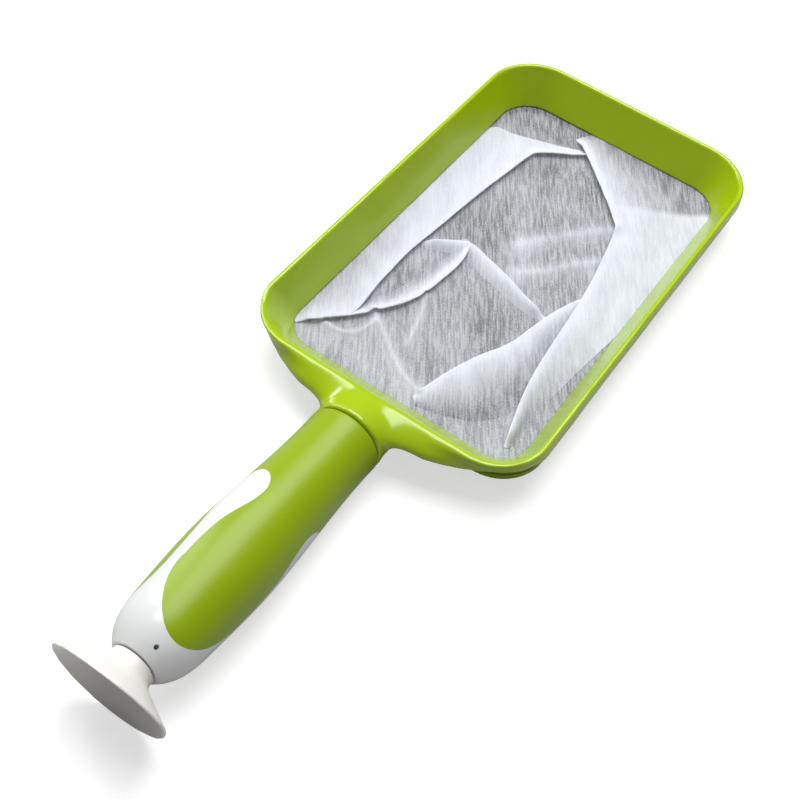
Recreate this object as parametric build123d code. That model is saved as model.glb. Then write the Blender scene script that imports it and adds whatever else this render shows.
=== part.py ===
from build123d import *
import math
import os

os.makedirs("parts", exist_ok=True)

# A hand-held leaf skimmer for a bath, spa or pool: a shallow funnel-shaped net
# frame on a round handle, with a suction cup on the handle's end to park it on
# a wall. Millimetres. While it is built, X runs across the head, +Y from the
# handle to the head's far end, and Z = 0 is the crest of the rim.

# ---- driving dimensions ------------------------------------------------------

# Net frame: the funnel-shaped hoop.
rim_width = 120.0
rim_length = 203.0
far_corner_r = 23.0
near_corner_r = 20.0
rim_land = 1.6
rim_bead_r = 1.2
rim_slope_start = 0.48
rim_slope_drop = 0.16
funnel_depth = 17.4
side_lean = 8.6
near_lean = 15.8
near_opening_r = 12.0
wall = 2.4
lip_drop = 5.0
lip_overhang = 1.4

# The crescent that joins the hoop to the neck.
crescent_r = 89.3
crescent_reach = 11.9
crescent_corner_r = 22.0
crescent_skirt = 2.6
crescent_edge_r = 1.2
crescent_wall = 2.2

# Flange under the funnel, with the groove for the net's hem.
flange_width = 7.0
flange_thickness = 1.8
hem_groove_inset = 1.5
hem_width = 2.4
hem_height = 1.2
hem_clearance = 0.1

# Clamp ring, staked under the flange.
cloth_gap = 0.4
ring_thickness = 2.8
ring_edge_r = 0.5
stake_r = 1.0
stake_clearance = 0.1
stake_head_r = 1.4
stake_head_height = 0.8
stake_inset = 1.5
stakes_per_side = 5
stakes_far = 3
near_stake_x = 34.0

# Net bag: the folded fabric is one low dome over the opening.
cloth_thickness = 0.8
fold_height = 3.0
fold_inset = 9.0
cloth_clearance = 0.3
flange_overlap = 1.6

# Handle axis: where it starts, how low it lies and how far it tips up.
neck_length = 16.0
axis_drop = 9.4
axis_tilt = 2.3

# Collar and spigot, moulded on the net frame.
collar_r = 14.3
collar_gap = 0.8
collar_width = 3.2
collar_edge_r = 1.3
neck_r = 13.9
neck_root_width = 31.0
neck_root_inset = 12.5
neck_root_drop = 5.3
neck_root_bottom = 16.2
neck_root_corner_r = 5.0
spigot_r = 10.5
spigot_length = 24.0
spigot_bore_r = 8.5
spigot_bore_past_collar = 5.0
snap_ring_height = 0.5
snap_ring_width = 2.0
snap_ring_at = 17.0
key_width = 2.4
key_height = 0.9
key_length = 10.0

# Handle: a white core and a green sleeve that lies flush in it.
handle_length = 110.2
handle_start_r = 14.3
handle_waist_r = 14.95
handle_waist_at = 28.0
handle_belly_r = 16.7
handle_belly_at = 64.0
handle_heel_r = 15.5
handle_heel_at = handle_length - 19.2
handle_shoulder_r = 13.5
handle_shoulder_at = handle_length - 6.8
handle_tail_r = 8.9
handle_edge_r = 0.6
sleeve_thickness = 1.8
socket_clearance = 0.1
core_bore_length = handle_length - 22.2

# White fingers of the core that part the sleeve into three lobes.
finger_angles = (-37.0, 106.0, 214.5)
finger_tip_at = 35.5
finger_head_width = 15.2
finger_head_at = 44.5
finger_waist_width = 5.0
lobe_widest_at = handle_length - 32.2
lobe_widest_r = handle_belly_r - 0.35
lobe_end_at = handle_length - 8.5

# Drain hole from the cup's socket to the outside.
drain_r = 0.8
drain_at = handle_length - 4.0
drain_angle = 27.0

# Suction cup: a soft disc with a stem and a knob that snaps into the core.
cup_r = 21.7
cup_rim_at = handle_length + 11.8
cup_rim_land = 0.8
cup_rim_thickness = 1.0
cup_neck_r = 8.1
cup_neck_at = handle_length + 2.4
cup_hollow_depth = 6.2
cup_gap = 0.3
stem_r = 4.2
stem_clearance = 0.08
knob_r = 6.4
knob_clearance = 0.3
knob_at = handle_length - 7.8
knob_height = 4.0


# ---- shared shapes -----------------------------------------------------------


def hoop_face(half_width, near_y, far_y, near_r, far_r):
    """A rectangle across X = 0 with its own corner radius at each end."""
    mid_y = (near_y + far_y) / 2
    face = Pos(0, mid_y) * Rectangle(2 * half_width, far_y - near_y)
    corners = face.vertices().sort_by(Axis.Y)
    face = fillet(corners[:2], near_r)
    far_corners = face.vertices().group_by(Axis.Y)[-1]
    return fillet(far_corners, far_r)


def funnel_face(depth, grow=0.0):
    """The funnel's inside outline at a depth under the crest, grown outwards."""
    share = depth / funnel_depth
    land = rim_land / 2 * (1 - share)
    half_width = rim_width / 2 - land - side_lean * share + grow
    near_y = land + near_lean * share - grow
    far_y = rim_length - land - side_lean * share + grow
    near_r = near_corner_r + (near_opening_r - near_corner_r) * share - land + grow
    far_r = far_corner_r - side_lean * share - land + grow
    return hoop_face(half_width, near_y, far_y, near_r, far_r)


def flat_ring(depth, inner_grow, outer_grow, height):
    """A band round the opening, from a depth upwards by its height."""
    outline = funnel_face(funnel_depth, outer_grow) - funnel_face(funnel_depth, inner_grow)
    return extrude(Pos(0, 0, -depth) * outline, amount=height)


def turned(points):
    """A solid of revolution about Z from (radius, height) corners."""
    return revolve(Plane.XZ * make_face(Polyline(*points, close=True)), axis=Axis.Z)


def tube(radius, start, end):
    """A cylinder on the Z axis between two heights."""
    return Pos(0, 0, start) * Cylinder(radius, end - start, align=(Align.CENTER, Align.CENTER, Align.MIN))


grip_axis = Plane(
    origin=(0, -neck_length, -axis_drop),
    x_dir=(1, 0, 0),
    z_dir=(0, -math.cos(math.radians(axis_tilt)), math.sin(math.radians(axis_tilt))),
)


def on_grip(shape):
    """Moves a shape made along Z onto the handle's axis, its start at the neck."""
    return grip_axis.location * shape


# ---- net frame ---------------------------------------------------------------


def crescent_outline(grow=0.0, back=0.0):
    """The head's outer outline: straight sides, and an arc at the handle end."""
    half_width = rim_width / 2 + lip_overhang + grow
    far_y = rim_length + lip_overhang + grow
    arc_r = crescent_r + grow - back
    arc_y = crescent_r - crescent_reach
    corner_y = arc_y - math.sqrt(arc_r**2 - half_width**2)
    sides = Polyline(
        (half_width, corner_y), (half_width, far_y), (-half_width, far_y), (-half_width, corner_y)
    )
    bow = ThreePointArc((-half_width, corner_y), (0, arc_y - arc_r), (half_width, corner_y))
    face = make_face([*sides.edges(), bow])
    near_corners = face.vertices().sort_by(Axis.Y)[:2]
    face = fillet(near_corners, crescent_corner_r + grow)
    far_corners = face.vertices().group_by(Axis.Y)[-1]
    return fillet(far_corners, far_corner_r + lip_overhang + grow)


def crescent_cap(drop, grow):
    """The sloping top of rim and crescent with its rounded edge, lowered and grown as told."""
    slope = lip_drop / crescent_reach
    crest = funnel_face(0, rim_land / 2 + rim_slope_start + grow)
    shoulder_y = -rim_slope_start - (rim_bead_r - rim_slope_drop) / slope - grow
    shoulder = hoop_face(
        rim_width / 2 + rim_bead_r - 0.05 + grow,
        shoulder_y,
        rim_length + rim_bead_r - 0.05 + grow,
        near_corner_r + 2 * rim_bead_r + grow,
        far_corner_r + rim_bead_r + grow,
    )
    sections = [Pos(0, 0, -drop - rim_slope_drop) * crest, Pos(0, 0, -drop - rim_bead_r) * shoulder]
    for back_share, rise_share in ((1.0, 1.0), (0.35, 0.75), (0.0, 0.0)):
        back = crescent_edge_r * back_share
        edge_z = -lip_drop + slope * back - crescent_edge_r * (1 - rise_share)
        sections.append(Pos(0, 0, edge_z - drop) * crescent_outline(grow, back))
    return loft(sections, ruled=True)


def rim_bead():
    """The rounded crest that runs round the whole mouth."""
    crest = Pos(0, 0, -rim_bead_r) * funnel_face(0, rim_land / 2)
    path = crest.face().outer_wire()
    circle = Plane(origin=path @ 0, z_dir=path % 0) * Circle(rim_bead_r)
    return sweep(circle, path=path)


def crescent_skirt_solid(grow, reach):
    """The upright edge under the crescent, which runs out along the sides."""
    top = -lip_drop - crescent_edge_r
    skirt = extrude(Pos(0, 0, top) * crescent_outline(grow), amount=-reach)
    run_out = 3 * near_corner_r
    floor_slope = math.degrees(math.atan2(crescent_skirt, crescent_reach + run_out))
    floor = Pos(0, run_out, top) * Rot(floor_slope, 0, 0)
    below = floor * Pos(0, 0, -50) * Box(3 * rim_width, 3 * rim_length, 100)
    return skirt - below


def neck():
    """The fairing from the crescent to the round collar."""
    root_z = -(neck_root_drop + neck_root_bottom) / 2
    root = Plane(origin=(0, neck_root_inset, root_z), x_dir=(1, 0, 0), z_dir=(0, -1, 0))
    root_height = neck_root_bottom - neck_root_drop
    root_face = root * RectangleRounded(neck_root_width, root_height, neck_root_corner_r)
    collar_start = -collar_gap - collar_width
    collar_face = on_grip(Pos(0, 0, collar_start + 0.5) * Circle(neck_r))
    return loft([root_face, collar_face])


def collar():
    """The rounded bead that the handle butts against."""
    bead = tube(collar_r, -collar_gap - collar_width, -collar_gap)
    return on_grip(fillet(bead.edges(), collar_edge_r))


def spigot():
    """The hollow peg with its snap ring and key that holds the handle."""
    peg = tube(spigot_r, -collar_gap - collar_width, spigot_length)
    peg = chamfer(peg.edges().sort_by(Axis.Z)[-1], 1.0)
    snap_r = spigot_r + snap_ring_height
    snap = turned(
        [
            (0, snap_ring_at),
            (spigot_r, snap_ring_at),
            (snap_r, snap_ring_at + snap_ring_height),
            (snap_r, snap_ring_at + snap_ring_width - snap_ring_height),
            (spigot_r, snap_ring_at + snap_ring_width),
            (0, snap_ring_at + snap_ring_width),
        ]
    )
    key_r = spigot_r + key_height
    key = Pos(0, key_r / 2, (key_length - collar_gap) / 2) * Box(key_width, key_r, key_length + collar_gap)
    return on_grip(peg + snap + key)


def spigot_bore():
    start = -collar_gap - collar_width - spigot_bore_past_collar
    return on_grip(tube(spigot_bore_r, start, spigot_length + 1))


def hem_groove():
    """The channel in the flange's underside that the net's hem lies in."""
    outer = hem_groove_inset + hem_width + 2 * hem_clearance
    return flat_ring(funnel_depth, hem_groove_inset, outer, hem_height + hem_clearance)


def headed_stake_spots():
    """Where the clamp ring's stakes pass through the flange and are headed over."""
    opening_half = rim_width / 2 - side_lean
    side_x = opening_half + flange_width - stake_inset
    far_y = rim_length - side_lean + flange_width - stake_inset
    first_y = near_lean + near_opening_r
    last_y = rim_length - far_corner_r
    step = (last_y - first_y) / (stakes_per_side - 1)
    spots = [(side * side_x, first_y + step * i) for side in (-1, 1) for i in range(stakes_per_side)]
    far_step = (opening_half - far_corner_r + side_lean) * 2 / (stakes_far + 1)
    return spots + [(far_step * (i - (stakes_far - 1) / 2), far_y) for i in range(stakes_far)]


def near_stake_spots():
    """Two plain pins at the handle end, where the wall leaves no room for heads."""
    near_y = near_lean - flange_width + stake_inset
    return [(side * near_stake_x, near_y) for side in (-1, 1)]


def net_frame():
    cap = crescent_cap(0, 0)
    skirt = crescent_skirt_solid(0, crescent_skirt)
    shell = cap + skirt
    hollow_cap = crescent_cap(crescent_wall, -crescent_wall)
    hollow_top = -lip_drop - crescent_edge_r - crescent_wall
    hollow_skirt = extrude(Pos(0, 0, hollow_top) * crescent_outline(-crescent_wall), amount=-funnel_depth)
    shell = shell - hollow_cap - hollow_skirt
    lean_wall = wall * math.hypot(side_lean, funnel_depth) / funnel_depth
    top = Pos(0, 0, -rim_bead_r) * funnel_face(rim_bead_r, rim_land)
    bottom = Pos(0, 0, -funnel_depth) * funnel_face(funnel_depth, lean_wall)
    funnel = loft([top, bottom], ruled=True)
    flange = flat_ring(funnel_depth, 0, flange_width, flange_thickness)
    frame = shell + funnel + flange
    mouth_top = funnel_face(0)
    mouth_bottom = Pos(0, 0, -funnel_depth) * funnel_face(funnel_depth)
    mouth = loft([mouth_top, mouth_bottom], ruled=True)
    frame = frame - mouth
    frame = frame + rim_bead() + (neck() - mouth)
    frame = frame - hem_groove()
    for x, y in headed_stake_spots() + near_stake_spots():
        frame = frame - Pos(x, y, -funnel_depth) * Cylinder(stake_r + stake_clearance, 3 * flange_thickness)
    frame = frame + collar() + spigot()
    return frame - spigot_bore()


# ---- clamp ring, hem and net -------------------------------------------------


def net_clamp_ring():
    ring_top = funnel_depth + cloth_gap
    ring = flat_ring(ring_top + ring_thickness, 0, flange_width, ring_thickness)
    bottom_edges = ring.edges().group_by(Axis.Z)[0]
    ring = fillet(bottom_edges, ring_edge_r)
    flange_top = -funnel_depth + flange_thickness
    for x, y in headed_stake_spots() + near_stake_spots():
        ring = ring + Pos(x, y, -ring_top) * tube(stake_r, 0, cloth_gap + flange_thickness)
    for x, y in headed_stake_spots():
        ring = ring + Pos(x, y, flange_top) * tube(stake_head_r, 0, stake_head_height)
    return ring


def net_hem():
    inner = hem_groove_inset + hem_clearance
    return flat_ring(funnel_depth, inner, inner + hem_width, hem_height)


def net_bag():
    flange = flat_ring(funnel_depth + cloth_gap, -flange_overlap, hem_groove_inset, cloth_gap)
    foot = funnel_depth + cloth_gap
    fold_top = funnel_depth - fold_height
    outer = loft(
        [
            Pos(0, 0, -foot) * funnel_face(funnel_depth, -cloth_clearance),
            Pos(0, 0, -fold_top) * funnel_face(funnel_depth, -fold_inset),
        ],
        ruled=True,
    )
    slope_wall = cloth_thickness * fold_inset / fold_height
    inner = loft(
        [
            Pos(0, 0, -foot) * funnel_face(funnel_depth, -cloth_clearance - slope_wall),
            Pos(0, 0, -fold_top - cloth_thickness) * funnel_face(funnel_depth, -fold_inset - 0.2),
        ],
        ruled=True,
    )
    return flange + outer - inner


# ---- handle ------------------------------------------------------------------


def handle_outline(inset=0.0):
    """The handle's long profile as (radius, distance along the axis)."""
    points = [
        (handle_start_r - inset, 0),
        (handle_waist_r - inset, handle_waist_at),
        (handle_belly_r - inset, handle_belly_at),
        (handle_heel_r - inset, handle_heel_at),
        (handle_shoulder_r - inset, handle_shoulder_at),
        (handle_tail_r - inset, handle_length),
    ]
    return Spline(*points)


def handle_body(inset=0.0):
    side = handle_outline(inset)
    tail_r = handle_tail_r - inset
    rest = Polyline((tail_r, handle_length), (0, handle_length), (0, 0), (handle_start_r - inset, 0))
    profile = make_face([side, *rest.edges()])
    body = revolve(Plane.XZ * profile, axis=Axis.Z)
    end_edges = body.edges().filter_by(GeomType.CIRCLE)
    return fillet(end_edges, handle_edge_r)


def round_quarter(start, end):
    """A quarter of an ellipse that leaves its start across X and reaches its end along the handle."""
    kappa = 0.5523
    (x0, s0), (x1, s1) = start, end
    return Bezier(start, (x0 + kappa * (x1 - x0), s0), (x1, s1 + kappa * (s0 - s1)), end)


def standing_out(right, low_x, low_s):
    """A cutter from one half of an outline, mirrored across X = 0 and standing out along +Y."""
    left = [mirror(edge, Plane.YZ) for edge in right]
    face = make_face([*right, *left, Line((low_x, low_s), (-low_x, low_s))])
    return extrude(Plane.XZ.offset(-handle_tail_r / 2) * face, amount=-handle_belly_r)


def finger_window():
    """The outline of one white finger, from its round tip to the lobes' widest place."""
    head = (finger_head_width / 2, finger_head_at)
    waist = (finger_waist_width / 2, lobe_widest_at)
    bend = (lobe_widest_at - finger_head_at) / 3
    tip_side = round_quarter((0, finger_tip_at), head)
    long_side = Bezier(head, (head[0], head[1] + bend), (waist[0], waist[1] - 2 * bend), waist)
    return standing_out([tip_side, long_side], *waist)


def lobe_end(span):
    """The outline of the rounded end of one green lobe, between fingers that are a span in degrees apart."""
    waist_angle = 2 * math.asin(finger_waist_width / 2 / lobe_widest_r)
    half_width = lobe_widest_r * math.sin((math.radians(span) - waist_angle) / 2)
    widest = (half_width, lobe_widest_at)
    return standing_out([round_quarter((0, lobe_end_at), widest)], *widest)


def grip_sleeve_local():
    """Green sleeve: a skin of the handle, less the fingers and the white end."""
    skin = handle_body() - handle_body(sleeve_thickness)
    white_end = tube(handle_belly_r + 1, lobe_widest_at, handle_length)
    next_angles = (*finger_angles[1:], finger_angles[0] + 360)
    for angle, next_angle in zip(finger_angles, next_angles):
        skin = skin - Rot(0, 0, -angle) * finger_window()
        white_end = white_end - Rot(0, 0, -(angle + next_angle) / 2) * lobe_end(next_angle - angle)
    return skin - white_end


def core_hollow():
    """Socket for the spigot, with its snap groove and keyway, and the air space."""
    bore_r = spigot_r + socket_clearance
    hollow = tube(bore_r, 0, core_bore_length)
    groove_start = snap_ring_at - socket_clearance
    groove_end = snap_ring_at + snap_ring_width + socket_clearance
    hollow = hollow + tube(bore_r + snap_ring_height, groove_start, groove_end)
    way_r = spigot_r + key_height + socket_clearance
    way_width = key_width + 2 * socket_clearance
    way_length = key_length + socket_clearance
    return hollow + Pos(0, way_r / 2, way_length / 2) * Box(way_width, way_r, way_length)


def cup_socket():
    """Hole for the cup's stem and chamber for its knob, with the drain."""
    stem_hole = tube(stem_r + stem_clearance, knob_at, handle_length)
    chamber = tube(knob_r + knob_clearance, knob_at - knob_clearance, knob_at + knob_height + knob_clearance)
    drain_reach = handle_belly_r
    drain = Cylinder(drain_r, drain_reach, align=(Align.CENTER, Align.CENTER, Align.MIN))
    drain = Pos(0, 0, drain_at) * Rot(0, 0, -drain_angle) * Rot(-90, 0, 0) * drain
    return stem_hole + chamber + drain


def handle_core_local():
    core = handle_body() - grip_sleeve_local()
    return core - core_hollow() - cup_socket()


# ---- suction cup -------------------------------------------------------------


def suction_cup_local():
    """Knob, stem, neck and disc, turned about the handle's axis."""
    knob_top = knob_at + knob_height
    neck_start = handle_length + cup_gap
    rim_back_at = cup_rim_at - cup_rim_thickness
    land_r = cup_r - cup_rim_land
    stem_side = Polyline(
        (0, knob_at),
        (knob_r - 1.5, knob_at),
        (knob_r, knob_at + 1.5),
        (knob_r, knob_top - 0.5),
        (knob_r - 0.5, knob_top),
        (stem_r, knob_top),
        (stem_r, neck_start),
        (cup_neck_r, neck_start),
        (cup_neck_r, cup_neck_at),
    )
    back = Spline(
        (cup_neck_r, cup_neck_at),
        (cup_neck_r + 2.6, cup_neck_at + 2.6),
        (cup_r, rim_back_at),
        tangents=[(0.25, 1), (1, 0.48)],
    )
    rim = Polyline((cup_r, rim_back_at), (cup_r, cup_rim_at), (land_r, cup_rim_at))
    hollow_bottom = cup_rim_at - cup_hollow_depth
    hollow = Spline((land_r, cup_rim_at), (0, hollow_bottom), tangents=[(-1, -0.55), (-1, 0)])
    axis_line = Line((0, hollow_bottom), (0, knob_at))
    profile = make_face([*stem_side.edges(), back, *rim.edges(), hollow, axis_line])
    return revolve(Plane.XZ * profile, axis=Axis.Z)


# ---- assembly at rest --------------------------------------------------------

parts = {
    "net_frame": net_frame(),
    "net_clamp_ring": net_clamp_ring(),
    "net_hem": net_hem(),
    "net_bag": net_bag(),
    "grip_sleeve": on_grip(grip_sleeve_local()),
    "handle_core": on_grip(handle_core_local()),
    "suction_cup": on_grip(suction_cup_local()),
}

# The skimmer lies on the clamp ring's far edge and on the rim of the cup, so
# the whole of it is tipped until both are on the floor.
ring_low = parts["net_clamp_ring"].bounding_box().min.Z
ring_far = parts["net_clamp_ring"].bounding_box().max.Y
tilt_rad = math.radians(axis_tilt)
cup_low = -axis_drop + cup_rim_at * math.sin(tilt_rad) - cup_r * math.cos(tilt_rad)
cup_y = -neck_length - cup_rim_at * math.cos(tilt_rad) - cup_r * math.sin(tilt_rad)
rest_tip = -math.degrees(math.atan2(ring_low - cup_low, ring_far - cup_y))

tipped = {name: Rot(rest_tip, 0, 0) * shape for name, shape in parts.items()}
boxes = [shape.bounding_box() for shape in tipped.values()]
low_z = min(box.min.Z for box in boxes)
mid_y = (min(box.min.Y for box in boxes) + max(box.max.Y for box in boxes)) / 2
for name, shape in tipped.items():
    export_step(Pos(0, -mid_y, -low_z) * shape, f"parts/{name}.step")
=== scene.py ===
import math

import bpy
import numpy as np
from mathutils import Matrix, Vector, noise


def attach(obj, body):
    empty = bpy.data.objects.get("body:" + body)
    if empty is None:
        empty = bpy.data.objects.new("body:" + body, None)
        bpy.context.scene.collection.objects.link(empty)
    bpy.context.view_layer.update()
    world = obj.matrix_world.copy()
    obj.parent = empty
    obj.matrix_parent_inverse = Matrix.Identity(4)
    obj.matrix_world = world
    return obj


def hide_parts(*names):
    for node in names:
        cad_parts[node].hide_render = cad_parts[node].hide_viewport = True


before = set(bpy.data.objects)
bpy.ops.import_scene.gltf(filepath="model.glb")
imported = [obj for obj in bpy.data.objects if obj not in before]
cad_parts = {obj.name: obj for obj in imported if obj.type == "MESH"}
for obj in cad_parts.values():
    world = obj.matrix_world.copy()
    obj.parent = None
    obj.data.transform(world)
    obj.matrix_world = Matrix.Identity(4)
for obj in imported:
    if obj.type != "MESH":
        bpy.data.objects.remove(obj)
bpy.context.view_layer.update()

# ---- The table and the light -------------------------------------------------
# The skimmer lies on a plain white table. One large softbox hangs over it, a
# little behind, a narrow one stands low on its left, and the room is pale.

view = bpy.data.cameras.new("view")
view.lens = 58.743
view.sensor_width = 36.0
view.clip_start = 0.01
view_point = bpy.data.objects.new("view", view)
view_point.location = (0.13124, -0.275559, 0.393187)
view_point.rotation_euler = [math.radians(a) for a in (36.3923, -5.9031, 34.3199)]
bpy.context.collection.objects.link(view_point)
bpy.context.scene.camera = view_point
bpy.context.scene.view_settings.view_transform = "Standard"

ROOM_LIGHT = 0.20
TABLE_GLOW = 0.60
TABLE_HALF = 3


def linear(hex_colour):
    """A hex sRGB colour as linear RGBA."""
    channels = [int(hex_colour[i : i + 2], 16) / 255 for i in (1, 3, 5)]
    return [c / 12.92 if c <= 0.04045 else ((c + 0.055) / 1.055) ** 2.4 for c in channels] + [1.0]


def node(tree, kind, values=None, **settings):
    """Adds one node to a tree, with its settings, and its inputs set or linked by name or number."""
    made = tree.nodes.new(kind)
    for name, value in settings.items():
        setattr(made, name, value)
    for name, value in (values or {}).items():
        if isinstance(value, bpy.types.NodeSocket):
            tree.links.new(value, made.inputs[name])
        else:
            made.inputs[name].default_value = value
    return made


def new_material(name):
    """An empty node material and its tree and output."""
    made = bpy.data.materials.new(name)
    made.use_nodes = True
    made.node_tree.nodes.clear()
    return made, made.node_tree, node(made.node_tree, "ShaderNodeOutputMaterial")


def seen_directly(tree):
    """1 for rays that look at the background straight or through a clear thing."""
    path = node(tree, "ShaderNodeLightPath")
    rays = {0: path.outputs["Is Camera Ray"], 1: path.outputs["Is Transmission Ray"]}
    return node(tree, "ShaderNodeMath", rays, operation="MAXIMUM").outputs[0]


def softbox(name, place, aim, size, watts):
    """A rectangular area light that faces a point."""
    lamp = bpy.data.lights.new(name, "AREA")
    lamp.shape = "RECTANGLE"
    lamp.size, lamp.size_y = size
    lamp.energy = watts
    held = bpy.data.objects.new(name, lamp)
    held.location = place
    held.rotation_euler = (Vector(aim) - Vector(place)).to_track_quat("-Z", "Y").to_euler()
    bpy.context.collection.objects.link(held)


softbox("overhead", (-0.12, 0.32, 0.95), (0.0, 0.0, 0.0), (0.80, 0.90), 15.6)
softbox("side", (-0.78, 0.22, 0.52), (0.0, -0.05, 0.0), (0.14, 0.80), 4.2)

room = bpy.data.worlds.new("room")
room.use_nodes = True
room.node_tree.nodes.clear()
room_strength = node(room.node_tree, "ShaderNodeMapRange",
                     {"Value": seen_directly(room.node_tree), "To Min": ROOM_LIGHT, "To Max": 1.0})
room_light = node(room.node_tree, "ShaderNodeBackground",
                  {"Color": linear("#FCFDFF"), "Strength": room_strength.outputs[0]})
node(room.node_tree, "ShaderNodeOutputWorld", {"Surface": room_light.outputs[0]})
bpy.context.scene.world = room

table_corners = [(x * TABLE_HALF, y * TABLE_HALF, 0) for x, y in ((-1, -1), (1, -1), (1, 1), (-1, 1))]
table_mesh = bpy.data.meshes.new("table")
table_mesh.from_pydata(table_corners, [], [(0, 1, 2, 3)])
table = bpy.data.objects.new("table", table_mesh)
bpy.context.collection.objects.link(table)
table_paint, tree, out = new_material("table_white")
# Matt white paint, with a glow that only a direct look sees, so the table ends in plain white.
paint = node(tree, "ShaderNodeBsdfDiffuse", {"Color": linear("#BEBEBE")})
glow_level = node(tree, "ShaderNodeMath", {0: seen_directly(tree), 1: TABLE_GLOW}, operation="MULTIPLY")
glow = node(tree, "ShaderNodeEmission", {"Color": linear("#FFFFFF"), "Strength": glow_level.outputs[0]})
both = node(tree, "ShaderNodeAddShader", {0: paint.outputs[0], 1: glow.outputs[0]})
tree.links.new(both.outputs[0], out.inputs["Surface"])
table_mesh.materials.append(table_paint)

# ---- Net frame ---------------------------------------------------------------
# One injection moulding in glossy lime-green ABS: the funnel-shaped hoop, the
# crescent wing and the collar that the handle butts against.

FRAME_VOXEL = 0.00072
MOULD_PULL, MOULD_BACK = 0.5, -0.52
WING_ROUNDS, WING_PULL = 45, 0.5
NECK_ROUNDS, NECK_PULL = 70, 0.6


def as_arrays(mesh):
    """A mesh's points, and the two point numbers of each edge."""
    points = np.zeros(len(mesh.vertices) * 3)
    mesh.vertices.foreach_get("co", points)
    ends = np.zeros(len(mesh.edges) * 2, np.int64)
    mesh.edges.foreach_get("vertices", ends)
    return points.reshape(-1, 3), ends.reshape(-1, 2)


def soften(mesh, rounds, share, back=0.0):
    """Each round moves each point towards its neighbours' mean by one share, then by the second, if any."""
    points, ends = as_arrays(mesh)
    count = np.bincount(ends.ravel(), minlength=len(points))[:, None]
    pulls = [share(points)[:, None] if callable(share) else share]
    if back:
        pulls.append(back)
    for _ in range(rounds):
        for pull in pulls:
            total = np.zeros_like(points)
            for axis in range(3):
                total[:, axis] = np.bincount(ends[:, 0], points[ends[:, 1], axis], len(points))
                total[:, axis] += np.bincount(ends[:, 1], points[ends[:, 0], axis], len(points))
            points += pull * (total / count - points)
    mesh.vertices.foreach_set("co", points.ravel())
    mesh.update()


def with_modifiers(piece):
    """The mesh that a piece's modifiers make."""
    evaluated = piece.evaluated_get(bpy.context.evaluated_depsgraph_get())
    return bpy.data.meshes.new_from_object(evaluated)


def moulded(cad_name, name, voxel, rounds=4):
    """A copy of a CAD piece with its edges eased, as a mould leaves them."""
    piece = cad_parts[cad_name].copy()
    piece.data = piece.data.copy()
    piece.parent = None
    piece.name = name
    piece.data.name = name
    for key in list(piece.keys()):
        del piece[key]
    bpy.context.collection.objects.link(piece)
    piece.data.materials.clear()
    weld = piece.modifiers.new("weld", "WELD")
    weld.merge_threshold = 0.000002
    even = piece.modifiers.new("even", "REMESH")
    even.mode = "VOXEL"
    even.voxel_size = voxel
    baked = with_modifiers(piece)
    piece.modifiers.clear()
    piece.data = baked
    baked.name = name
    soften(baked, rounds, MOULD_PULL, MOULD_BACK)
    for polygon in baked.polygons:
        polygon.use_smooth = True
    return piece


def neck_share(points):
    """How strongly the joint between the neck and the wing is eased."""
    x, y, z = points.T * 1000
    along = np.clip((y + 45.0) / 2.5, 0, 1) * np.clip((-33.2 - y) / 2.0, 0, 1)
    across = np.clip((27.0 - abs(x)) / 6.0, 0, 1)
    high = np.clip((z - 10.0) / 4.0, 0, 1)
    return NECK_PULL * along * across * high


def wing_share(points):
    """How strongly the crescent wing and its outer skirt are eased."""
    y, z = points.T[1:] * 1000
    along = np.clip((-15.0 - y) / 10.0, 0, 1)
    return WING_PULL * along * np.clip((y + 44.0) / 1.5, 0, 1) * np.clip((z - 6.5) / 2.0, 0, 1)


def clouded(tree, scale, detail, dark, light):
    """Object coordinates, soft noise in them, and a colour that drifts with it."""
    spot = node(tree, "ShaderNodeTexCoord").outputs["Object"]
    noise_values = {"Vector": spot, "Scale": scale, "Detail": detail}
    cloud = node(tree, "ShaderNodeTexNoise", noise_values).outputs["Fac"]
    colours = {"Factor": cloud, 6: linear(dark), 7: linear(light)}
    return spot, cloud, node(tree, "ShaderNodeMix", colours, data_type="RGBA").outputs[2]


def between(tree, value, low, high):
    """A value of 0 to 1 moved to a range."""
    return node(tree, "ShaderNodeMapRange", {"Value": value, "To Min": low, "To Max": high}).outputs[0]


def grained(tree, spot, scale, strength, distance):
    """The normal of a very fine even grain."""
    grain = node(tree, "ShaderNodeTexNoise", {"Vector": spot, "Scale": scale, "Detail": 1.0})
    relief = {"Height": grain.outputs["Fac"], "Strength": strength, "Distance": distance}
    return node(tree, "ShaderNodeBump", relief).outputs[0]


def surfaced(tree, out, values):
    """Ends a material in one plastic shader."""
    skin = node(tree, "ShaderNodeBsdfPrincipled", values)
    tree.links.new(skin.outputs[0], out.inputs["Surface"])


net_frame = moulded("net_frame", "net_frame_moulding", FRAME_VOXEL)
soften(net_frame.data, WING_ROUNDS, wing_share)
soften(net_frame.data, NECK_ROUNDS, neck_share)

lime_abs, tree, out = new_material("lime_abs_moulded")
# ABS out of a polished mould: saturated, glossy, with a faint flow waviness.
spot, cloud, shade = clouded(tree, 45.0, 2.0, "#91AA06", "#98B20A")
surfaced(tree, out, {"Base Color": shade, "Roughness": between(tree, cloud, 0.16, 0.24), "IOR": 1.53,
                     "Normal": grained(tree, spot, 700.0, 0.02, 0.0002)})
net_frame.data.materials.append(lime_abs)
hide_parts("net_frame")
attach(net_frame, "skimmer")

# ---- Clamp ring --------------------------------------------------------------
# A flat green ABS ring under the hoop. Its stakes pass through the flange and
# are headed over by heat, which traps the net's edge.


def wears(piece, material):
    """Gives a piece one material alone."""
    piece.data.materials.clear()
    piece.data.materials.append(material)


wears(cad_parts["net_clamp_ring"], lime_abs)

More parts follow.
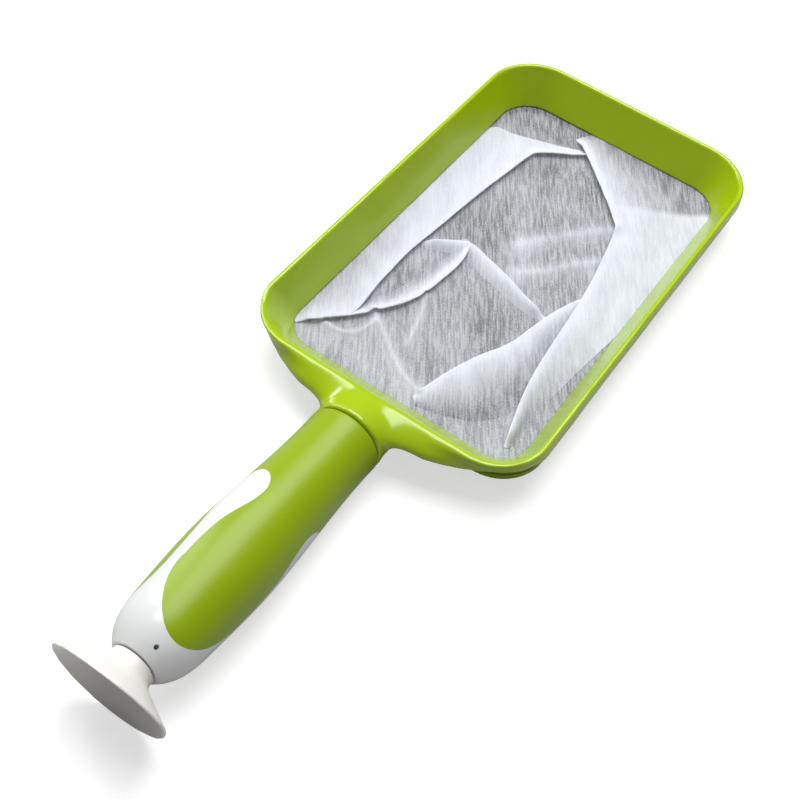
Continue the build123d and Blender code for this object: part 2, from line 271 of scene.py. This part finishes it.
# ---- Net fabric --------------------------------------------------------------
# One slack sheet of fine white polyester mesh, folded over on itself to fit the
# hoop: a single layer lets light through, and its folds are nearly opaque.
# Millimetres, until the points are stored.

WIDE, NEAR, FAR = 51.4, -17.05, 161.53
NEAR_CORNER, FAR_CORNER = 12.0, 14.4
CORNER_CHANGE = 72
BASE_SLOPE = 0.01642
SHEET_LEVEL = 5.83
SAG = 1.3
CLAMPED = 3.4
CELL = 0.9
ROLL = 0.35
FAR_HIGH = 0.12
EDGE_FADE = 7.0
YARN_TURN = math.radians(-32.7)


def from_outline(x, y):
    """Distance from the hoop's opening, negative inside it."""
    corner = np.where(y < CORNER_CHANGE, NEAR_CORNER, FAR_CORNER)
    over_x = abs(x) - WIDE + corner
    over_y = abs(y - (NEAR + FAR) / 2) - (FAR - NEAR) / 2 + corner
    outside = np.hypot(np.maximum(over_x, 0), np.maximum(over_y, 0))
    return np.minimum(np.maximum(over_x, over_y), 0) + outside - corner


def smooth(value):
    """A value cut to 0 to 1, with soft ends."""
    value = np.clip(value, 0, 1)
    return value * value * (3 - 2 * value)


def drawn(points, count):
    """A smooth line through given points, with evenly spaced places along it."""
    line = np.array(points, float)
    for _ in range(3):
        cut = np.empty((2 * len(line), 2))
        cut[0], cut[-1] = line[0], line[-1]
        cut[1:-1:2] = 0.75 * line[:-1] + 0.25 * line[1:]
        cut[2:-1:2] = 0.25 * line[:-1] + 0.75 * line[1:]
        line = cut
    run = np.concatenate([[0], np.cumsum(np.hypot(*np.diff(line, axis=0).T))])
    places = np.linspace(0, run[-1], count)
    return np.stack([np.interp(places, run, line[:, 0]), np.interp(places, run, line[:, 1])], 1)


def near_line(x, y, points):
    """Distance of each place from a line."""
    line = drawn(points, 60)
    squared = (x.ravel()[:, None] - line[:, 0]) ** 2 + (y.ravel()[:, None] - line[:, 1]) ** 2
    return np.sqrt(squared.min(1)).reshape(x.shape)


def crinkle(x, y, size, seed, stretch=1.0):
    """Smooth noise from -1 to 1, drawn out along the yarns."""
    along = (0.54 * x - 0.84 * y) / (size * stretch)
    across = (0.84 * x + 0.54 * y) / size
    flat = [noise.noise((a, b, seed)) for a, b in zip(along.ravel(), across.ravel())]
    return np.array(flat).reshape(x.shape)


# Each soft ridge: its line, its width and its height.
soft_ridges = [
    ([(-3.9, 81.1), (3.1, 92.4), (12.9, 103.9), (23.3, 116.0)], 3.0, 1.1),
    ([(3.9, 68.5), (11.1, 74.6), (18.5, 84.9), (26.0, 95.3)], 2.8, 1.1),
    ([(-31.0, 14.0), (-26.0, 11.2), (-17.5, 4.6), (-5.2, -4.7), (5.3, -8.1)], 1.5, 1.7),
    ([(-18.9, 34.3), (-14.3, 23.9), (-10.5, 8.0)], 1.3, 1.5),
    ([(-41.0, -3.0), (-34.4, -3.1), (-28.8, 0.8), (-27.2, 9.4)], 1.3, 1.5),
]


def ridge(x, y, line, wide):
    """1 on a line, falling to 0 on either side of it."""
    return np.exp(-((near_line(x, y, line) / wide) ** 2))


def slack(x, y):
    """Height of the single layer: even in the clamp, sagging and rumpled inside it."""
    inside = smooth(-from_outline(x, y) / 10)
    level = SHEET_LEVEL - BASE_SLOPE * y
    swell = 1.0 * crinkle(x, y, 34, 3.1) + 0.75 * crinkle(x, y, 14, 7.7, 1.6)
    swell += 0.16 * crinkle(x, y, 4.2, 1.3, 2.0)
    ridges = sum(high * ridge(x, y, line, wide) for line, wide, high in soft_ridges)
    return level + inside * (-SAG + swell + ridges)


net_points, net_faces, net_folded_and_shade = [], [], []


def add_grid(x, y, z, folded_and_shade, keep=None):
    """Adds a grid of points to the net, and the squares between them."""
    rows, columns = x.shape
    start = sum(len(p) for p in net_points)
    net_points.append(np.stack([x, y, z], -1).reshape(-1, 3) / 1000)
    net_folded_and_shade.append(np.broadcast_to(folded_and_shade, x.shape).ravel())
    index = start + np.arange(rows * columns).reshape(rows, columns)
    squares = np.stack([index[:-1, :-1], index[1:, :-1], index[1:, 1:], index[:-1, 1:]], -1)
    net_faces.append(squares.reshape(-1, 4) if keep is None else squares[keep])


# The single layer. Points outside the clamp are drawn in to its line.
across, along = np.meshgrid(np.arange(-56.0, 56.1, CELL), np.arange(-22.0, 166.5, CELL), indexing="ij")
beyond = from_outline(across, along) - CLAMPED
step = 0.01
slope_x = (from_outline(across + step, along) - beyond - CLAMPED) / step
slope_y = (from_outline(across, along + step) - beyond - CLAMPED) / step
held_x = across - np.maximum(beyond, 0) * slope_x
held_y = along - np.maximum(beyond, 0) * slope_y
kept = np.minimum.reduce([beyond[:-1, :-1], beyond[1:, :-1], beyond[1:, 1:], beyond[:-1, 1:]]) < 0
# Doubling and shade for each point: lighter along the soft ridges and towards the handle end, varying at
# random. It is darkened towards the far end, and that darkening is painted shade.
thickness_and_shade = sum(0.30 * ridge(held_x, held_y, line, 1.6 * wide) for line, wide, _ in soft_ridges)
thickness_and_shade = thickness_and_shade + 0.28 + 0.18 * crinkle(held_x, held_y, 12.0, 5.5, 2.0) + 0.12 * smooth((10 - held_y) / 18)
thickness_and_shade = thickness_and_shade - 0.26 * smooth((held_y - 146) / 8)
add_grid(held_x, held_y, slack(held_x, held_y), np.clip(thickness_and_shade, 0, 1), kept)


def fold(edge, far_side, high, seed, veil, fade=1.4, under=6.0, taper=0.0):
    """A flap of doubled cloth: a rolled edge, its top running to the far side, its lower layer under it."""
    length = np.hypot(*np.diff(np.array(edge, float), axis=0).T).sum()
    count = int(length / CELL) + 2
    near, far = drawn(edge, count), drawn(far_side, count)
    far = near + (far - near) * (1 - taper * (1 - np.sin(np.linspace(0.12, np.pi - 0.12, count))[:, None]))
    width = np.maximum(np.hypot(*(far - near).T), 0.8)
    columns = int(np.clip(width.max() / CELL, 6, 60))
    turn = np.radians(np.linspace(-90, 90, 7))
    share = np.linspace(0, 1, columns)[1:]
    shut = smooth(np.minimum(np.arange(count), np.arange(count)[::-1]) / EDGE_FADE)[:, None]
    low = np.linspace(1, 0, 6)[:-1]
    reach = np.minimum(under, 0.8 * width)[:, None]
    level = np.zeros((count, 1))
    # Distance in from the edge and height, for the lower layer, the roll and the top.
    steps_in = [
        ROLL + low * (reach - ROLL),
        ROLL * (1 - np.cos(turn)) + level,
        ROLL + share * (width[:, None] - ROLL),
    ]
    heights = [
        (high * shut - ROLL) * (1 - 0.8 * low) + level,
        high * shut + ROLL * np.sin(turn) + level,
        high * shut + ROLL + (FAR_HIGH - high * shut - ROLL) * smooth(share) ** 0.8 + level,
    ]
    inward = np.concatenate(steps_in, 1)
    rise = np.concatenate(heights, 1)
    x = near[:, :1] + (far - near)[:, :1] * inward / width[:, None]
    y = near[:, 1:] + (far - near)[:, 1:] * inward / width[:, None]
    top = smooth((rise - 0.3) / 1.5)
    rumple = 0.55 * crinkle(x, y, 11.0, seed, 1.8) + 0.14 * crinkle(x, y, 3.0, seed + 5, 2.2)
    z = slack(x, y) + rise + rumple * top
    thick = 1.0 - 0.10 * smooth((inward - 1.0) / 3.0)
    thin = veil(x, y) if callable(veil) else veil
    thick = thick + (thin - thick) * smooth(inward / width[:, None]) ** fade
    add_grid(x, y, z, np.clip(thick + 0.10 * crinkle(x, y, 7.0, seed + 9, 2.0), 0, 1))


def veil_left(x, y):
    """The left flap thins towards the handle."""
    return 0.55 + 0.33 * smooth((y - 20) / 60)


def veil_right(x, y):
    """The right flap is one layer past its crease, and thins towards the handle."""
    beyond_crease = smooth((y - 127.9 - 0.68 * (x - 21.1)) / 5)
    return (0.80 - 0.45 * smooth((60 - y) / 50)) * (1 - beyond_crease) + 0.28 * beyond_crease


edge_left = [(-50.0, -11.0), (-45.1, -6.6), (-40.5, -0.1), (-34.5, 7.1), (-35.7, 21.2), (-36.6, 36.1),
             (-36.6, 48.1), (-35.7, 59.2), (-34.8, 72.6), (-32.9, 89.3), (-30.5, 110.5), (-27.6, 129.8),
             (-27.0, 132.4), (-24.6, 134.9), (-15.2, 143.2), (-8.2, 148.6), (-4.0, 151.5)]
far_left = [(-53.5, -6.0), (-53.5, 20.0), (-53.5, 60.0), (-53.5, 100.0), (-53.5, 128.0), (-51.0, 138.0),
            (-42.0, 140.5), (-34.4, 142.0), (-26.3, 145.5), (-16.7, 149.5), (-11.0, 151.7), (-4.0, 153.5)]
fold(edge_left, far_left, 2.3, 11.0, veil_left)
edge_low = [(5.0, -11.0), (7.7, 1.4), (10.5, 10.7), (14.3, 20.9), (19.3, 31.3), (22.1, 43.7), (25.6, 59.8),
            (31.2, 75.1)]
far_low = [(8.0, -15.0), (20.0, -11.0), (33.0, -4.0), (40.0, 12.0), (39.0, 45.0), (35.0, 75.0)]
fold(edge_low, far_low, 1.5, 21.0, 0.25, fade=0.9)
edge_right = [(-18.1, 155.1), (-7.4, 146.4), (4.6, 134.8), (21.4, 118.0), (23.7, 113.6), (26.8, 99.4),
              (31.1, 74.8), (32.9, 53.4), (34.6, 33.0), (37.7, 13.0), (44.1, -9.7)]
far_right = [(-12.0, 164.5), (10.0, 164.5), (34.0, 164.0), (50.0, 158.0), (53.5, 140.0), (53.5, 118.0),
             (53.5, 90.0), (52.0, 66.0), (49.0, 44.0), (47.0, 25.0), (46.0, 8.0), (46.5, -9.0)]
fold(edge_right, far_right, 2.7, 31.0, veil_right, fade=0.6)
centre = np.array([(-37.0, 58.0), (-28.8, 63.6), (-20.4, 69.7), (-8.8, 66.3), (4.8, 61.7), (16.7, 57.1),
                   (24.0, 56.0)])
fold(centre, centre + (1.5, -8.5), 2.2, 51.0, 0.55, under=3.0, taper=0.75)
second = np.array([(-20.4, 70.5), (-17.5, 62.9), (-16.8, 53.4), (-18.9, 35.9), (-21.6, 26.0), (-25.0, 19.3),
                   (-30.5, 11.9), (-34.3, 6.9), (-40.5, -0.1), (-45.1, -6.6)])
fold(second, second + (-9.0, 1.5), 2.0, 61.0, 0.45, under=3.0, taper=0.55)

net_mesh = bpy.data.meshes.new("net_fabric")
net_mesh.from_pydata(np.concatenate(net_points).tolist(), [], np.concatenate(net_faces).tolist())
net_mesh.attributes.new("folded_and_shade", "FLOAT", "POINT").data.foreach_set("value", np.concatenate(net_folded_and_shade))
for polygon in net_mesh.polygons:
    polygon.use_smooth = True
net = bpy.data.objects.new("net_fabric", net_mesh)
bpy.context.collection.objects.link(net)

polyester_net, tree, out = new_material("polyester_net")
# Fine knitted mesh: yarns under a millimetre apart, part see-through in one
# layer, milky where it is doubled, with light passing through from behind.
spot = node(tree, "ShaderNodeTexCoord").outputs["Object"]
folded_and_shade = node(tree, "ShaderNodeAttribute", attribute_name="folded_and_shade").outputs["Fac"]
turned = node(tree, "ShaderNodeMapping", {"Vector": spot, "Rotation": (0, 0, YARN_TURN)})
drawn_out = node(tree, "ShaderNodeMapping", {"Vector": turned.outputs[0], "Scale": (1350.0, 110.0, 110.0)})
yarns = node(tree, "ShaderNodeTexNoise",
             {"Vector": drawn_out.outputs[0], "Scale": 1.0, "Detail": 2.0, "Roughness": 0.6})
knit = node(tree, "ShaderNodeTexNoise", {"Vector": spot, "Scale": 1700.0, "Detail": 1.0})
mixed = node(tree, "ShaderNodeMath", {0: knit.outputs["Fac"], 1: 0.5, 2: yarns.outputs["Fac"]},
             operation="MULTIPLY_ADD")
thread = node(tree, "ShaderNodeMapRange", {"Value": mixed.outputs[0], "From Min": 0.60, "From Max": 0.92})
# The single layer is painted grey and is darker still in the gaps between yarns. This is painted shade of the
# shaded table under the net.
shaded_one_layer = node(tree, "ShaderNodeMix",
                 {"Factor": thread.outputs[0], 6: linear("#626366"), 7: linear("#A8AAAF")}, data_type="RGBA")
doubled = node(tree, "ShaderNodeMix",
               {"Factor": thread.outputs[0], 6: linear("#D3D6E0"), 7: linear("#DDE0E9")}, data_type="RGBA")
whiter = node(tree, "ShaderNodeMapRange", {"Value": folded_and_shade, "From Min": 0.16, "From Max": 0.92})
tint = node(tree, "ShaderNodeMix",
            {"Factor": whiter.outputs[0], 6: shaded_one_layer.outputs[2], 7: doubled.outputs[2]}, data_type="RGBA")
weave = node(tree, "ShaderNodeBump", {"Height": mixed.outputs[0], "Strength": 0.12, "Distance": 0.0003})
front = node(tree, "ShaderNodeBsdfDiffuse", {"Color": tint.outputs[2], "Normal": weave.outputs[0]})
through = node(tree, "ShaderNodeBsdfTranslucent", {"Color": tint.outputs[2], "Normal": weave.outputs[0]})
cloth = node(tree, "ShaderNodeMixShader", {"Fac": 0.25, 1: front.outputs[0], 2: through.outputs[0]})
gap = node(tree, "ShaderNodeBsdfTransparent")
solid = between(tree, folded_and_shade, 0.86, 0.99)
seen = node(tree, "ShaderNodeMixShader", {"Fac": solid, 1: gap.outputs[0], 2: cloth.outputs[0]})
tree.links.new(seen.outputs[0], out.inputs["Surface"])
net_mesh.materials.append(polyester_net)
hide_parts("net_bag")
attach(net, "skimmer")

# ---- Hem ---------------------------------------------------------------------
# The net's edge, rolled over a cord and lockstitched with white polyester
# thread; it lies in the flange's groove and goes round the whole opening.

HEM_OUT = 2.8  # millimetres, as in the net
HEM_LEVEL = 6.63
STITCH_DROP = -0.00050  # metres

hem_loop = []
for side_x, side_y, first in ((1, 1, 0), (-1, 1, 90), (-1, -1, 180), (1, -1, 270)):
    radius = FAR_CORNER if side_y > 0 else NEAR_CORNER
    centre_x = side_x * (WIDE - radius)
    centre_y = FAR - radius if side_y > 0 else NEAR + radius
    for angle in np.radians(np.arange(first, first + 91, 9)):
        out_x, out_y = (radius + HEM_OUT) * math.cos(angle), (radius + HEM_OUT) * math.sin(angle)
        hem_loop.append((centre_x + out_x, centre_y + out_y))
hem_mesh = bpy.data.meshes.new("hem_loop")
hem_mesh.from_pydata([(x / 1000, y / 1000, (HEM_LEVEL - BASE_SLOPE * y) / 1000) for x, y in hem_loop],
                     [(i, (i + 1) % len(hem_loop)) for i in range(len(hem_loop))], [])
hem = bpy.data.objects.new("stitched_hem", hem_mesh)
bpy.context.collection.objects.link(hem)

sewing = bpy.data.node_groups.new("sewing", "GeometryNodeTree")
for name, kind in (("Loop", "Geometry"), ("Roll", "Float"), ("Spacing", "Float"), ("Thread", "Float"),
                   ("Cloth", "Material")):
    sewing.interface.new_socket(name, in_out="INPUT", socket_type="NodeSocket" + kind)
sewing.interface.new_socket("Hem", in_out="OUTPUT", socket_type="NodeSocketGeometry")
given = sewing.nodes.new("NodeGroupInput").outputs
path = node(sewing, "GeometryNodeMeshToCurve", {"Mesh": given["Loop"]})
even = node(sewing, "GeometryNodeResampleCurve", {"Curve": path.outputs["Curve"], "Length": given["Spacing"]},
            mode="LENGTH")
upright = node(sewing, "GeometryNodeSetCurveNormal", {"Curve": even.outputs["Curve"]}, mode="Z_UP")
ring = node(sewing, "GeometryNodeCurvePrimitiveCircle", {"Resolution": 14, "Radius": given["Roll"]})
oval = node(sewing, "GeometryNodeTransform", {"Geometry": ring.outputs["Curve"], "Scale": (1.0, 2.0, 1.0)})
roll = node(sewing, "GeometryNodeCurveToMesh",
            {"Curve": upright.outputs["Curve"], "Profile Curve": oval.outputs[0]})
bead = node(sewing, "GeometryNodeMeshUVSphere", {"Segments": 8, "Rings": 6, "Radius": given["Thread"]})
tangent = node(sewing, "GeometryNodeInputTangent")
aimed = node(sewing, "FunctionNodeAlignRotationToVector", {"Vector": tangent.outputs[0]}, axis="Z")
stitches = node(sewing, "GeometryNodeInstanceOnPoints",
                {"Points": even.outputs["Curve"], "Instance": bead.outputs["Mesh"],
                 "Rotation": aimed.outputs[0], "Scale": (1.0, 1.0, 4.0)})
lowered = node(sewing, "GeometryNodeSetPosition",
               {"Geometry": stitches.outputs[0], "Offset": (0.0, 0.0, STITCH_DROP)})
both = node(sewing, "GeometryNodeJoinGeometry", {"Geometry": roll.outputs["Mesh"]})
sewing.links.new(lowered.outputs[0], both.inputs["Geometry"])
real = node(sewing, "GeometryNodeRealizeInstances", {"Geometry": both.outputs[0]})
smoothed = node(sewing, "GeometryNodeSetShadeSmooth", {0: real.outputs[0]})
clothed = node(sewing, "GeometryNodeSetMaterial",
               {"Geometry": smoothed.outputs[0], "Material": given["Cloth"]})
node(sewing, "NodeGroupOutput", {"Hem": clothed.outputs[0]})


def grown(piece, group, **values):
    """Runs a node group on a piece with named values, and keeps the mesh it makes."""
    made = piece.modifiers.new(group.name, "NODES")
    made.node_group = group
    for item in group.interface.items_tree:
        if item.name in values:
            made[item.identifier] = values[item.name]
    baked = with_modifiers(piece)
    piece.modifiers.clear()
    piece.data = baked
    baked.name = piece.name


hem_thread, tree, out = new_material("hem_thread")
# Doubled polyester, so it is whiter than the single net, and quite matt.
spot, cloud, shade = clouded(tree, 1800.0, 2.0, "#E2E4EA", "#F6F7FA")
matt = node(tree, "ShaderNodeBsdfDiffuse", {"Color": shade})
tree.links.new(matt.outputs[0], out.inputs["Surface"])
grown(hem, sewing, Roll=0.00054, Spacing=0.0026, Thread=0.00018, Cloth=hem_thread)
wears(hem, hem_thread)
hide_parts("net_hem")
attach(hem, "skimmer")

# ---- Handle core -------------------------------------------------------------
# White ABS, moulded first; it holds the spigot at one end and the cup's knob at
# the other, and its three fingers show between the lobes of the sleeve.

white_abs, tree, out = new_material("white_abs_moulded")
# Clean gloss plastic, a neutral white, with soft wide highlights from its mould.
spot, cloud, shade = clouded(tree, 60.0, 2.0, "#CBCDCC", "#D4D6D5")
surfaced(tree, out, {"Base Color": shade, "Roughness": between(tree, cloud, 0.18, 0.27), "IOR": 1.53})
wears(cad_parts["handle_core"], white_abs)

# ---- Grip sleeve -------------------------------------------------------------
# Soft green thermoplastic rubber, moulded over the core and flush with it: three
# lobes that run together into one tube at the collar.

lime_tpe, tree, out = new_material("lime_tpe_overmould")
# Softer gloss than the frame, with a very fine matt grain that widens highlights.
spot, cloud, shade = clouded(tree, 50.0, 3.0, "#7D9500", "#849D03")
surfaced(tree, out, {"Base Color": shade, "Roughness": between(tree, cloud, 0.30, 0.36), "IOR": 1.5,
                     "Specular IOR Level": 0.3, "Normal": grained(tree, spot, 2200.0, 0.06, 0.0001)})
wears(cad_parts["grip_sleeve"], lime_tpe)

# ---- Suction cup -------------------------------------------------------------
# Soft milky PVC in one piece with its stem and knob; the thin lip has taken a
# set, so its upper side leans outwards.

CUP_VOXEL = 0.0004
CUP_RADIUS = 0.0217
LIP_SET = 0.0016
LEAN = 0.135
DISC_BACK, DISC_BLEND = 0.0115, 0.004

cup = moulded("suction_cup", "suction_cup_moulding", CUP_VOXEL, 3)
cup_points = as_arrays(cup.data)[0]
rim_centre = np.array([0.0, -0.170514, 0.021722])
outwards = np.array([0.0, -0.998401, 0.056533])
upwards = np.array([0.0, 0.056533, 0.998401])
from_centre = cup_points - rim_centre
high = from_centre @ upwards
radius = np.hypot(from_centre[:, 0], high)
disc = smooth((from_centre @ outwards + DISC_BACK) / DISC_BLEND)
lip = LIP_SET * np.clip(high / np.maximum(radius, 1e-6), 0, 1) ** 1.5 * (radius / CUP_RADIUS) ** 2
cup_points[:, 1] -= disc * (lip + LEAN * high)
cup.data.vertices.foreach_set("co", cup_points.ravel())
cup.data.update()

milky_pvc, tree, out = new_material("milky_pvc")
# Plasticised vinyl: waxy and slightly see-through, so its thin lip glows and
# its highlights are broad.
spot, cloud, shade = clouded(tree, 90.0, 3.0, "#D0CEC9", "#DBD9D5")
surfaced(tree, out, {"Base Color": shade, "Roughness": 0.38, "IOR": 1.52, "Subsurface Weight": 0.35,
                     "Subsurface Radius": (0.003, 0.0028, 0.0025), "Subsurface Scale": 1.0})
cup.data.materials.append(milky_pvc)
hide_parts("suction_cup")
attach(cup, "cup")
